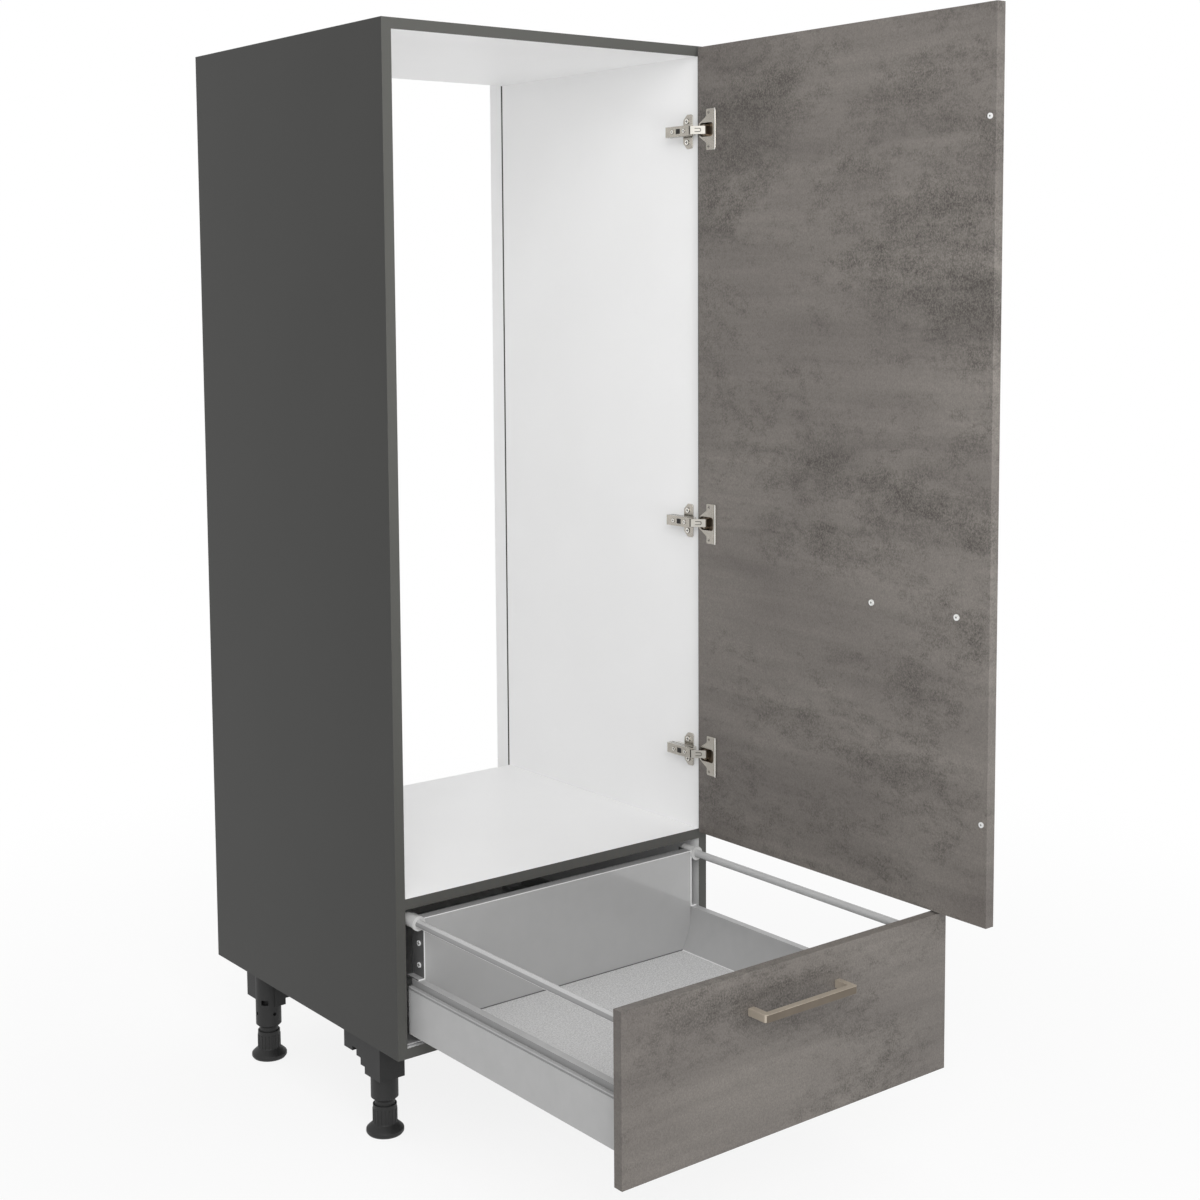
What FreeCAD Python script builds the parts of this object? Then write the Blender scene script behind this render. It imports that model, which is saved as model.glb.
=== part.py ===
# Fridge housing unit: carcass on levelling feet, hinged door shown open, drawer shown pulled out.
# Cabinet frame: x across the front from the middle, y from the carcass front edge towards the back,
# z up from the underside of the carcass. Every node is then moved to the row frame, whose origin is
# on the floor below the middle of the whole object.
import FreeCAD, Part
import Sketcher
import math
import os

VALUES = {
    # Carcass
    "cabinet_width": 600,
    "cabinet_depth": 568,
    "cabinet_height": 1500,
    "panel_thickness": 16,
    "shelf_top": 240,
    "rear_inset": 38,
    "hardboard_thickness": 4,
    "groove_depth": 7,
    "groove_play": 0.2,
    "dowel_radius": 4,
    "dowel_length": 32,
    "dowel_in_side": 12,
    "dowel_inset": 60,
    "dowel_play": 0.05,
    # Fronts
    "front_thickness": 16,
    "front_gap": 2,
    "front_reveal": 1.5,
    "front_joint": 3,
    "drawer_front_height": 231,
    "front_edge_round": 0.8,
    # Concealed hinges
    "hinge_low_rise": 132,
    "hinge_middle_rise": 509,
    "hinge_high_drop": 129,
    "arm_pin_reach": 18.5,
    "cup_pin_edge": 12,
    "cup_pin_depth": 3.5,
    "link_turn": 45,
    "link_rise": 4.2,
    "link_sheet": 1.2,
    "link_half_tab": 1.1,
    "link_half_width": 6.3,
    "eye_radius": 2.3,
    "pin_radius": 1.5,
    "pin_hold": 0.02,
    "pin_play": 0.05,
    "arm_sheet": 1.3,
    "arm_length": 54,
    "arm_setback": 3,
    "arm_half_width": 8.2,
    "arm_side_start": 4,
    "arm_side_foot": 9,
    "nose_radius": 2.4,
    "arm_window_start": 19,
    "arm_window_length": 10,
    "arm_window_half": 4,
    "plate_thickness": 2,
    "plate_front": 11,
    "plate_tip": 24,
    "plate_back": 33,
    "plate_half_span": 27,
    "plate_shoulder": 18,
    "plate_corner": 4,
    "plate_edge_round": 0.8,
    "rib_top": 14,
    "arm_seat_play": 0.15,
    "rib_start": 6,
    "rib_end": 50,
    "plate_screw_along": 23,
    "plate_screw_spread": 16.5,
    "arm_screw_front": 10,
    "arm_screw_back": 37.5,
    "cup_radius": 17.5,
    "cup_wall": 1.2,
    "cup_depth": 12,
    "cup_floor": 0.7,
    "cup_edge": 4,
    "cup_play": 0.05,
    "flange_thickness": 1,
    "flange_half_span": 32,
    "flange_near": 20.5,
    "flange_far": 43,
    "flange_shoulder": 20.5,
    "flange_tip": 3.5,
    "flange_tip_half": 10,
    "flange_corner": 2.5,
    "flange_lip_width": 5.2,
    "flange_lip_rise": 1.3,
    "mouth_near": 5.5,
    "mouth_far": 36.3,
    "mouth_half": 10.8,
    "mouth_corner": 5,
    "ear_gap": 0.3,
    "ear_thickness": 2.2,
    "ear_half_length": 2.6,
    "cup_screw_along": 25.5,
    "cup_screw_spread": 26.5,
    "cup_screw_radius": 1.6,
    "cup_screw_head": 2.3,
    "cup_screw_height": 0.4,
    # Screws
    "screw_radius": 2.5,
    "screw_length": 12,
    "screw_head_radius": 4,
    "screw_head_height": 1.6,
    "screw_play": 0.05,
    "arm_screw_radius": 3,
    "arm_screw_height": 1,
    # Bow handles and buffers
    "handle_spacing": 160,
    "handle_bar": 10,
    "handle_height": 10.8,
    "handle_projection": 34,
    "handle_outer_round": 5,
    "handle_inner_round": 1.5,
    "handle_edge_round": 1.2,
    "handle_screw_radius": 2,
    "handle_screw_depth": 9,
    "handle_screw_spare": 1,
    "handle_head_radius": 4.5,
    "handle_head_height": 2,
    "drawer_handle_above": 178,
    "door_handle_above": 428,
    "door_handle_edge": 58,
    "buffer_radius": 4,
    "buffer_thickness": 1.6,
    "buffer_edge": 10,
    "buffer_low_rise": 145,
    "buffer_high_drop": 150,
    # Drawer
    "drawer_travel": 497,
    "drawer_length": 504,
    "side_gap": 7,
    "side_bottom": 35,
    "side_top": 117,
    "side_top_width": 18,
    "side_foot_width": 37,
    "side_wall": 1.2,
    "side_step_width": 6,
    "side_step_drop": 10,
    "side_groove_drop": 1.7,
    "side_groove_width": 3,
    "side_groove_depth": 0.6,
    "floor_top": 48,
    "floor_thickness": 16,
    "floor_rabbet": 1.2,
    "floor_rabbet_depth": 3,
    "back_board_front": 489,
    "back_board_top": 210,
    "back_board_inset": 19.5,
    "back_board_play": 0.3,
    "bracket_sheet": 2,
    "bracket_depth": 30,
    "bracket_foot": 10,
    "bracket_screw_along": 12,
    "bracket_screw_low": 136,
    "bracket_screw_high": 169,
    "rail_radius": 6,
    "rail_bore": 4.8,
    "rail_inset": 8,
    "rail_above": 204,
    "rail_groove_drop": 3.2,
    "rail_groove_width": 1,
    "rail_groove_depth": 1.4,
    "holder_radius": 9.5,
    "holder_length": 16,
    "holder_socket": 10,
    "back_holder_length": 31,
    "back_holder_half": 6,
    "holder_collar": 1.5,
    "holder_collar_length": 3,
    "holder_play": 0.1,
    # Full-extension runners
    "runner_sheet": 1.5,
    "runner_lift": 3,
    "runner_front": 4,
    "runner_length": 490,
    "runner_flange_height": 30,
    "runner_web_width": 45,
    "runner_lip_height": 9,
    "runner_play": 0.3,
    "middle_length": 470,
    "middle_front": 14,
    "middle_start": 27,
    "middle_width": 14,
    "slide_drop": 9,
    "slide_sheet": 1.1,
    "slide_front": 4,
    "runner_screw_above": 21,
    "runner_screw_front": 37,
    "runner_screw_inset": 73,
    # Levelling feet
    "foot_height": 150,
    "foot_inset": 34,
    "foot_front": 95,
    "foot_back_inset": 110,
    "socket_length": 92.5,
    "socket_radius": 21,
    "socket_tip_length": 5,
    "socket_neck_radius": 15.6,
    "socket_neck_length": 8,
    "socket_bore": 12.2,
    "socket_roof": 4,
    "bracket_width": 44,
    "bracket_height": 60,
    "bracket_rise": 10.7,
    "bracket_tread": 11.8,
    "bracket_start": 20.5,
    "bracket_end": 80,
    "bracket_toe": 35,
    "bracket_nose": 23,
    "bracket_heel": 37,
    "bracket_heel_width": 38,
    "bracket_heel_height": 51,
    "socket_window": 12,
    "socket_window_height": 8.5,
    "socket_window_above": 36,
    "socket_hole": 2.8,
    "socket_hole_above": 20,
    "spindle_radius": 12,
    "spindle_length": 60,
    "collar_top": 104,
    "collar_radius": 18.2,
    "collar_foot": 133,
    "collar_recess": 7,
    "collar_wall": 1.7,
    "flute_radius": 0.9,
    "base_radius": 28.8,
    "base_crown": 139.5,
    "base_rim": 147,
    "base_round": 3,
    "base_sole": 26.5,
    "base_blend": 2,
    "collar_blend": 4,
}

doc = FreeCAD.newDocument("fridge_housing_unit")
sheet = doc.addObject("Spreadsheet::Sheet", "Sizes")
for row, (alias, number) in enumerate(VALUES.items(), start=1):
    sheet.set(f"A{row}", alias)
    sheet.set(f"B{row}", str(number))
    sheet.setAlias(f"B{row}", alias)
doc.recompute()


class Size:
    """A length with its present number and the sheet expression that gives it."""

    def __init__(self, value, text):
        self.value = value
        self.text = text

    def combine(self, other, sign, value):
        return Size(value, f"({self.text} {sign} {size(other).text})")

    def __add__(self, other):
        return self.combine(other, "+", self.value + size(other).value)

    def __sub__(self, other):
        return self.combine(other, "-", self.value - size(other).value)

    def __mul__(self, other):
        return self.combine(other, "*", self.value * size(other).value)

    def __truediv__(self, other):
        return self.combine(other, "/", self.value / size(other).value)

    def __radd__(self, other):
        return size(other) + self

    def __rsub__(self, other):
        return size(other) - self

    def __rmul__(self, other):
        return size(other) * self

    def __neg__(self):
        return size(0) - self


def size(item):
    """Turn an alias, a number or a Size into a Size."""
    if isinstance(item, Size):
        return item
    if isinstance(item, str):
        return Size(float(sheet.get(item)), f"Sizes.{item}")
    return Size(float(item), f"{item:.6g}")


def turn_part(function, angle):
    """Cosine or sine of an angle in the sheet, in degrees."""
    number = getattr(math, function)(math.radians(angle.value))
    return Size(number, f"{function}({angle.text} * 1 deg)")


# Lines and planes that several pieces share
half_width = size("cabinet_width") / 2
panel = size("panel_thickness")
inner = half_width - panel
depth = size("cabinet_depth")
height = size("cabinet_height")
inner_depth = depth - "rear_inset"
shelf_top = size("shelf_top")
front = size("front_thickness")
front_half = half_width - "front_reveal"
front_width = front_half * 2
front_gap = size("front_gap")
joint_gap = size("front_joint")
door_bottom = joint_gap + "drawer_front_height" + joint_gap
door_top = height - joint_gap
hinge_heights = {
    "low": door_bottom + "hinge_low_rise",
    "middle": door_bottom + "hinge_middle_rise",
    "high": door_top - "hinge_high_drop",
}

# Hinge pivots: with the door shut the link lies along x, and the open door turns it by link_turn
arm_pin_x = inner - "arm_pin_reach"
arm_pin_y = -(front_gap + "cup_pin_depth")
link_length = size("arm_pin_reach") + panel - "front_reveal" - "cup_pin_edge"
cup_pin_x = arm_pin_x + link_length * turn_part("cos", size("link_turn"))
cup_pin_y = arm_pin_y - link_length * turn_part("sin", size("link_turn"))
door_x = cup_pin_x - "cup_pin_depth"
door_y = cup_pin_y + "cup_pin_edge"
door_outer = door_x + front
door_edge = door_y - front_width

# Drawer planes with the drawer pulled out
drawer_y = -(front_gap + "drawer_travel")
drawer_face = drawer_y - front
side_outer = inner - "side_gap"
back_board_y = drawer_y + "back_board_front"
floor_half = side_outer - "side_foot_width"
board_half = side_outer - "back_board_inset"

# Row frame: the floor below the middle of the whole object
reach_right = door_outer + "handle_projection"
row_x = (reach_right - half_width) / 2
row_y = (depth + door_edge) / 2
row_shift = (-row_x, -row_y, size("foot_height"))

AXES = {"x": FreeCAD.Vector(1, 0, 0), "y": FreeCAD.Vector(0, 1, 0), "z": FreeCAD.Vector(0, 0, 1)}
PLANES = {"xy": "XY_Plane", "xz": "XZ_Plane", "yz": "YZ_Plane"}
bases = {}
nodes = []


def bind(obj, prop, item):
    obj.setExpression(prop, size(item).text)


def place(obj, base):
    for axis, item in zip("xyz", base):
        bind(obj, f"Placement.Base.{axis}", item)
    bases[obj.Name] = [size(item) for item in base]


def block(base, extent):
    """Box from its lowest corner and its three sizes."""
    box = doc.addObject("Part::Box", "Block")
    for prop, item in zip(("Length", "Width", "Height"), extent):
        bind(box, prop, item)
    place(box, base)
    return box


def rod(base, radius, length, axis):
    """Cylinder that starts at base and runs along an axis."""
    cylinder = doc.addObject("Part::Cylinder", "Rod")
    bind(cylinder, "Radius", radius)
    bind(cylinder, "Height", length)
    cylinder.Placement = FreeCAD.Placement(
        FreeCAD.Vector(), FreeCAD.Rotation(AXES["z"], AXES[axis])
    )
    place(cylinder, base)
    return cylinder


def fuse(shapes):
    joined = doc.addObject("Part::MultiFuse", "Joined")
    joined.Shapes = shapes
    joined.Refine = True
    return joined


def group(shapes):
    compound = doc.addObject("Part::Compound", "Group")
    compound.Links = shapes
    return compound


def cut(base, tools):
    result = doc.addObject("Part::Cut", "Cut")
    result.Base = base
    result.Tool = tools[0] if len(tools) == 1 else fuse(tools)
    return result


def outline(body, plane, points):
    """Closed outline of straight lines, each corner bound to the sheet."""
    sketch = body.newObject("Sketcher::SketchObject", "Outline")
    for feature in body.Origin.OriginFeatures:
        if feature.Role == PLANES[plane]:
            sketch.AttachmentSupport = [(feature, "")]
    sketch.MapMode = "FlatFace"
    corners = [(size(u), size(v)) for u, v in points]
    count = len(corners)
    for index, (u, v) in enumerate(corners):
        after_u, after_v = corners[(index + 1) % count]
        start = FreeCAD.Vector(u.value, v.value, 0)
        end = FreeCAD.Vector(after_u.value, after_v.value, 0)
        sketch.addGeometry(Part.LineSegment(start, end), False)
    for index, (u, v) in enumerate(corners):
        sketch.addConstraint(Sketcher.Constraint("Coincident", index, 2, (index + 1) % count, 1))
        for kind, item in (("DistanceX", u), ("DistanceY", v)):
            place_id = sketch.addConstraint(Sketcher.Constraint(kind, -1, 1, index, 1, item.value))
            sketch.setExpression(f"Constraints[{place_id}]", item.text)
    return sketch


def extrusion(plane, points, length, base):
    """Body padded from an outline. In plane xz the pad runs towards the front."""
    body = doc.addObject("PartDesign::Body", "Body")
    sketch = outline(body, plane, points)
    pad = body.newObject("PartDesign::Pad", "Pad")
    pad.Profile = sketch
    bind(pad, "Length", length)
    place(body, base)
    return body


def revolution(points, base):
    """Body turned about the vertical from half of its section, as radius and height."""
    body = doc.addObject("PartDesign::Body", "Body")
    sketch = outline(body, "xz", points)
    turned = body.newObject("PartDesign::Revolution", "Turned")
    turned.Profile = sketch
    turned.ReferenceAxis = (sketch, ["V_Axis"])
    turned.Angle = 360
    place(body, base)
    return body


def round_edges(body, radius, chosen):
    """Fillet those edges of a body's last feature that the test picks by their middle and direction."""
    doc.recompute()
    base = body.Tip
    names = []
    for number, edge in enumerate(base.Shape.Edges, start=1):
        middle = edge.valueAt((edge.FirstParameter + edge.LastParameter) / 2)
        along = edge.tangentAt(edge.FirstParameter)
        if chosen(middle, along):
            names.append(f"Edge{number}")
    fillet = body.newObject("PartDesign::Fillet", "Round")
    fillet.Base = (base, names)
    bind(fillet, "Radius", radius)


def runs(along, axis):
    """True for an edge whose direction is nearer to that axis than to being square to it."""
    return abs(along.dot(AXES[axis])) > along.cross(AXES[axis]).Length


def same(place_now, item):
    return math.isclose(place_now, item.value, rel_tol=FreeCAD.Base.Precision.approximation())


def node(obj, label):
    """Name a finished piece and move it from the cabinet frame to the row frame."""
    obj.Label = label
    base = bases.get(obj.Name, [size(0)] * 3)
    place(obj, [item + shift for item, shift in zip(base, row_shift)])
    nodes.append(obj)


# Carcass
def dowel_places(level):
    """Dowels that hold one horizontal panel, as side, depth and height."""
    for side in (-1, 1):
        for along in (size("dowel_inset"), inner_depth - "dowel_inset"):
            yield side, along, level - panel / 2


PANEL_TOPS = {"top_panel": height, "fridge_shelf": shelf_top, "bottom_panel": panel}


def dowel(side, along, level, radius):
    end = inner + "dowel_in_side"
    start = end - "dowel_length" if side > 0 else -end
    return rod((start, along, level), radius, size("dowel_length"), "x")


def side_panel(side, screws):
    start = inner if side > 0 else -half_width
    board = block((start, 0, 0), (panel, depth, height))
    groove_start = inner if side > 0 else -inner - "groove_depth"
    tools = [
        block(
            (groove_start, inner_depth - size("groove_play") / 2, 0),
            (size("groove_depth"), size("hardboard_thickness") + "groove_play", height),
        )
    ]
    for level in PANEL_TOPS.values():
        for which, along, centre in dowel_places(level):
            if which == side:
                tools.append(dowel(side, along, centre, size("dowel_radius") + "dowel_play"))
    for along, level in screws:
        shank = size("screw_length")
        start = inner if side > 0 else -inner - shank
        tools.append(rod((start, along, level), size("screw_radius") + "screw_play", shank, "x"))
    return cut(board, tools)


def level_panel(top):
    board = block((-inner, 0, top - panel), (inner * 2, inner_depth, panel))
    drill = size("dowel_radius") + "dowel_play"
    return cut(board, [dowel(side, along, centre, drill) for side, along, centre in dowel_places(top)])


plate_screws = []
for level in hinge_heights.values():
    for way in (-1, 1):
        plate_screws.append((size("plate_screw_along"), level + way * size("plate_screw_spread")))

runner_bottom = panel + "runner_lift"
runner_screw_level = runner_bottom + "runner_screw_above"
runner_end = size("runner_front") + "runner_length"
runner_screws = [
    (size("runner_screw_front"), runner_screw_level),
    (runner_end - "runner_screw_inset", runner_screw_level),
]

node(side_panel(-1, runner_screws), "left_side_panel")
node(side_panel(1, runner_screws + plate_screws), "right_side_panel")
for label, top in PANEL_TOPS.items():
    node(level_panel(top), label)
back_half = inner + "groove_depth" - "groove_play"
node(
    block((-back_half, inner_depth, 0), (back_half * 2, size("hardboard_thickness"), shelf_top - panel)),
    "drawer_compartment_back",
)
dowels = []
for top in PANEL_TOPS.values():
    dowels += [dowel(side, along, centre, size("dowel_radius")) for side, along, centre in dowel_places(top)]
node(group(dowels), "dowels")


# Concealed hinges, fixed half
def hinge_plate(level):
    """Mounting plate: rounded wings that lean to the front, and a rib that the arm clips over."""
    span = size("plate_half_span")
    shoulder = size("plate_shoulder")
    thick = size("plate_thickness")
    start = inner - thick
    lead = size("plate_front")
    tip = size("plate_tip")
    back = size("plate_back")
    points = [(lead, -span), (tip, -span), (back, -shoulder), (back, shoulder), (tip, span), (lead, span)]
    wings = extrusion("yz", points, thick, (start, 0, level))
    round_edges(wings, size("plate_corner"), lambda middle, along: runs(along, "x"))
    round_edges(wings, size("plate_edge_round"), lambda middle, along: same(middle.x + thick.value, thick))
    rib_half = size("arm_half_width") - "arm_sheet" - "arm_seat_play"
    rib_start = size("rib_start")
    rib = block(
        (inner - "rib_top", rib_start, level - rib_half),
        (size("rib_top"), size("rib_end") - rib_start, rib_half * 2),
    )
    holes = []
    for way in (-1, 1):
        base = (start, size("plate_screw_along"), level + way * size("plate_screw_spread"))
        holes.append(rod(base, size("screw_radius") + "screw_play", thick, "x"))
    return cut(fuse([wings, rib]), holes)


def hinge_arm(level):
    """Folded steel arm: top sheet with a window, two sides over the plate's rib, forked nose for the pin."""
    sheet_thick = size("arm_sheet")
    half = size("arm_half_width")
    nose = size("nose_radius")
    ear = size("link_half_width") + "ear_gap"
    ear_outer = ear + sheet_thick
    top = arm_pin_x - nose
    start = arm_pin_y + "arm_setback"
    side_start = size("arm_side_start")
    end = size("arm_length")
    channel = block(
        (top, side_start, level - half),
        (inner - "arm_side_foot" - top, end - side_start, half * 2),
    )
    hollow_half = half - sheet_thick
    hollow = block(
        (top + sheet_thick, side_start, level - hollow_half),
        (inner - top, end - side_start, hollow_half * 2),
    )
    tongue = block((top, start, level - ear_outer), (sheet_thick, side_start - start, ear_outer * 2))
    ears = []
    ear_length = side_start + sheet_thick - arm_pin_y
    for bottom in (level - ear_outer, level + ear):
        ears.append(block((top, arm_pin_y, bottom), (nose * 2, ear_length, sheet_thick)))
        ears.append(rod((arm_pin_x, arm_pin_y, bottom), nose, sheet_thick, "z"))
    bore = rod((arm_pin_x, arm_pin_y, level - half), size("pin_radius") + "pin_hold", half * 2, "z")
    window_half = size("arm_window_half")
    window = block(
        (top, size("arm_window_start"), level - window_half),
        (sheet_thick, size("arm_window_length"), window_half * 2),
    )
    return cut(fuse([cut(channel, [hollow]), tongue] + ears), [bore, window])


def pins(x, y, half):
    """One upright pin in each hinge."""
    radius = size("pin_radius")
    return group([rod((x, y, level - half), radius, half * 2, "z") for level in hinge_heights.values()])


arm_pin_half = size("link_half_width") + "ear_gap" + "arm_sheet"
for label, level in hinge_heights.items():
    node(hinge_plate(level), f"hinge_plate_{label}")
    node(hinge_arm(level), f"hinge_arm_{label}")
node(pins(arm_pin_x, arm_pin_y, arm_pin_half), "hinge_arm_pins")

arm_top = arm_pin_x - "nose_radius"
arm_screws = []
for level in hinge_heights.values():
    for along in ("arm_screw_front", "arm_screw_back"):
        rise = size("arm_screw_height")
        arm_screws.append(rod((arm_top - rise, along, level), size("arm_screw_radius"), rise, "x"))
node(group(arm_screws), "hinge_arm_screws")


def panel_screw(side, seat, along, level):
    """Screw into a side panel: shank through the part that it holds, head on that part's face."""
    head = size("screw_head_height")
    shank = size("screw_length") + seat
    face = inner - seat
    shank_start = face if side > 0 else -face - shank
    head_start = face - head if side > 0 else -face
    return fuse(
        [
            rod((shank_start, along, level), size("screw_radius"), shank, "x"),
            rod((head_start, along, level), size("screw_head_radius"), head, "x"),
        ]
    )


carcass_screws = [panel_screw(1, size("plate_thickness"), along, level) for along, level in plate_screws]
for side in (-1, 1):
    seat = size("runner_sheet")
    carcass_screws += [panel_screw(side, seat, along, level) for along, level in runner_screws]
node(group(carcass_screws), "carcass_screws")


# Hinge links
def hinge_link(level):
    """Folded sheet between the two pins, drawn as it lies with the door shut and then turned open."""
    tab = size("link_half_tab")
    half = size("link_half_width")
    rise = size("link_rise")
    under = rise - "link_sheet"
    far = link_length - tab
    points = [(-tab, 0), (-tab, -rise), (link_length + tab, -rise), (link_length + tab, 0)]
    points += [(far, 0), (far, -under), (tab, -under), (tab, 0)]
    strip = extrusion("xy", points, half * 2, (0, 0, -half))
    eyes = [rod((along, 0, -half), size("eye_radius"), half * 2, "z") for along in (size(0), link_length)]
    bore = size("pin_radius") + "pin_play"
    bores = [rod((along, 0, -half), bore, half * 2, "z") for along in (size(0), link_length)]
    link = cut(fuse([strip] + eyes), bores)
    link_turn = size("link_turn")
    link.Placement = FreeCAD.Placement(FreeCAD.Vector(), FreeCAD.Rotation(-AXES["z"], link_turn.value))
    bind(link, "Placement.Rotation.Angle", link_turn)
    place(link, (arm_pin_x, arm_pin_y, level))
    return link


for label, level in hinge_heights.items():
    node(hinge_link(level), f"hinge_link_{label}")

# Door, open at a right angle: its width runs towards the front, its inner face looks to the left
cup_y = door_y - "cup_edge" - "cup_radius"
door_handle_z = door_bottom + "door_handle_above"
door_handle_y = door_edge + "door_handle_edge" + size("handle_spacing") / 2


def door_panel():
    corners = [(door_edge, door_bottom), (door_y, door_bottom), (door_y, door_top), (door_edge, door_top)]
    board = extrusion("yz", corners, front, (door_x, 0, 0))
    round_edges(board, size("front_edge_round"), lambda middle, along: True)
    bores = []
    for level in hinge_heights.values():
        drill = size("cup_radius") + "cup_play"
        bores.append(rod((door_x, cup_y, level), drill, size("cup_depth") + "cup_play", "x"))
        for way in (-1, 1):
            along = door_y - "cup_screw_along"
            place_z = level + way * size("cup_screw_spread")
            shank = size("screw_length")
            bores.append(rod((door_x, along, place_z), size("cup_screw_radius") + "screw_play", shank, "x"))
    for way in (-1, 1):
        along = door_handle_y + way * size("handle_spacing") / 2
        drill = size("handle_screw_radius") + "screw_play"
        bores.append(rod((door_x, along, door_handle_z), drill, front, "x"))
    return cut(board, bores)


def hinge_cup(level):
    """Pressed cup under a winged flange with a raised lip, and two ears that hold the link's pin."""
    radius = size("cup_radius")
    thick = size("flange_thickness")
    span = size("flange_half_span")
    shoulder = size("flange_shoulder")
    tip_half = size("flange_tip_half")
    near = door_y - "flange_near"
    far = door_y - "flange_far"
    tip = door_y - "flange_tip"
    face = door_x - thick
    points = [(far, -span), (near, -span), (near, -shoulder), (tip, -tip_half)]
    points += [(tip, tip_half), (near, shoulder), (near, span), (far, span)]
    flange = extrusion("yz", points, thick, (face, 0, level))
    round_edges(flange, size("flange_corner"), lambda middle, along: runs(along, "x"))
    lip_width = size("flange_lip_width")
    lip_half = span - "flange_corner"
    lip_points = [(0, far), (-size("flange_lip_rise"), far + lip_width / 4)]
    lip_points += [(-size("flange_lip_rise"), far + lip_width / 2), (0, far + lip_width)]
    lip = extrusion("xy", lip_points, lip_half * 2, (face, 0, level - lip_half))
    mouth_half = size("mouth_half")
    mouth_near = door_y - "mouth_near"
    mouth_far = door_y - "mouth_far"
    mouth_points = [(mouth_far, -mouth_half), (mouth_near, -mouth_half)]
    mouth_points += [(mouth_near, mouth_half), (mouth_far, mouth_half)]
    mouth = extrusion("yz", mouth_points, thick, (face, 0, level))
    round_edges(mouth, size("mouth_corner"), lambda middle, along: runs(along, "x"))
    wall = rod((door_x, cup_y, level), radius, size("cup_depth"), "x")
    hollow = rod((door_x, cup_y, level), radius - "cup_wall", size("cup_depth") - "cup_floor", "x")
    ears = []
    ear = size("link_half_width") + "ear_gap"
    reach = size("ear_half_length")
    ear_thick = size("ear_thickness")
    for bottom in (level - ear - ear_thick, level + ear):
        ears.append(
            block(
                (door_x + "cup_pin_depth" - reach, cup_pin_y - reach, bottom),
                (size("cup_depth") - "cup_floor" - "cup_pin_depth" + reach, reach * 2, ear_thick),
            )
        )
    bore_half = ear + ear_thick
    bore = rod((cup_pin_x, cup_pin_y, level - bore_half), size("pin_radius") + "pin_hold", bore_half * 2, "z")
    screw_holes = []
    for way in (-1, 1):
        base = (face, door_y - "cup_screw_along", level + way * size("cup_screw_spread"))
        screw_holes.append(rod(base, size("cup_screw_radius") + "screw_play", thick, "x"))
    shell = cut(fuse([flange, lip, wall]), [hollow, mouth] + screw_holes)
    return cut(fuse([shell] + ears), [bore])


def bow_handle():
    """Square bar bent to a bow: feet on the plane y = 0, the grip towards the front, level at z = 0."""
    bar = size("handle_bar")
    outer = size("handle_spacing") / 2 + bar / 2
    gap = outer - bar
    reach = size("handle_projection")
    grip = reach - bar
    points = [(-outer, 0), (-outer, -reach), (outer, -reach), (outer, 0)]
    points += [(gap, 0), (gap, -grip), (-gap, -grip), (-gap, 0)]
    tall = size("handle_height")
    body = extrusion("xy", points, tall, (0, 0, -tall / 2))

    def upright_at(level):
        return lambda middle, along: runs(along, "z") and same(middle.y, -level)

    def grip_rim(middle, along):
        return not runs(along, "z") and same(middle.y, -reach)

    round_edges(body, size("handle_inner_round"), upright_at(grip))
    round_edges(body, size("handle_outer_round"), upright_at(reach))
    round_edges(body, size("handle_edge_round"), grip_rim)
    return body


def drilled_handle():
    """Bow handle with a blind hole for a screw in each foot."""
    holes = []
    for way in (-1, 1):
        start = -size("handle_screw_depth")
        drill = size("handle_screw_radius") + "screw_play"
        base = (way * size("handle_spacing") / 2, start, 0)
        holes.append(rod(base, drill, size("handle_screw_depth"), "y"))
    return cut(bow_handle(), holes)


def handle_screw(base, axis, way):
    """Screw from a front's inner face into a handle's foot. Base is on the inner face."""
    shank = front + "handle_screw_depth" - "handle_screw_spare"
    head = size("handle_head_height")
    index = "xyz".index(axis)
    shank_base = list(base)
    head_base = list(base)
    if way > 0:
        head_base[index] = head_base[index] - head
    else:
        shank_base[index] = shank_base[index] - shank
    return fuse(
        [
            rod(shank_base, size("handle_screw_radius"), shank, axis),
            rod(head_base, size("handle_head_radius"), head, axis),
        ]
    )


node(door_panel(), "door_panel")
cup_screws = []
for label, level in hinge_heights.items():
    node(hinge_cup(level), f"hinge_cup_{label}")
    for way in (-1, 1):
        seat = size("flange_thickness")
        along = door_y - "cup_screw_along"
        place_z = level + way * size("cup_screw_spread")
        head = size("cup_screw_height")
        shank = size("screw_length") + seat
        cup_screws.append(
            fuse(
                [
                    rod((door_x - seat, along, place_z), size("cup_screw_radius"), shank, "x"),
                    rod((door_x - seat - head, along, place_z), size("cup_screw_head"), head, "x"),
                ]
            )
        )
node(group(cup_screws), "hinge_cup_screws")
cup_pin_half = size("link_half_width") + "ear_gap" + "ear_thickness"
node(pins(cup_pin_x, cup_pin_y, cup_pin_half), "hinge_cup_pins")

door_handle = drilled_handle()
door_handle.Placement = FreeCAD.Placement(FreeCAD.Vector(), FreeCAD.Rotation(AXES["z"], 90))
place(door_handle, (door_outer, door_handle_y, door_handle_z))
node(door_handle, "door_handle")
door_handle_screws = []
for way in (-1, 1):
    along = door_handle_y + way * size("handle_spacing") / 2
    door_handle_screws.append(handle_screw((door_x, along, door_handle_z), "x", 1))
node(group(door_handle_screws), "door_handle_screws")
buffers = []
for level in (door_bottom + "buffer_low_rise", door_top - "buffer_high_drop"):
    rise = size("buffer_thickness")
    base = (door_x - rise, door_edge + "buffer_edge", level)
    buffers.append(rod(base, size("buffer_radius"), rise, "x"))
node(group(buffers), "door_buffers")

# Drawer, pulled out
drawer_front_z = joint_gap
drawer_handle_z = drawer_front_z + "drawer_handle_above"


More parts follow.
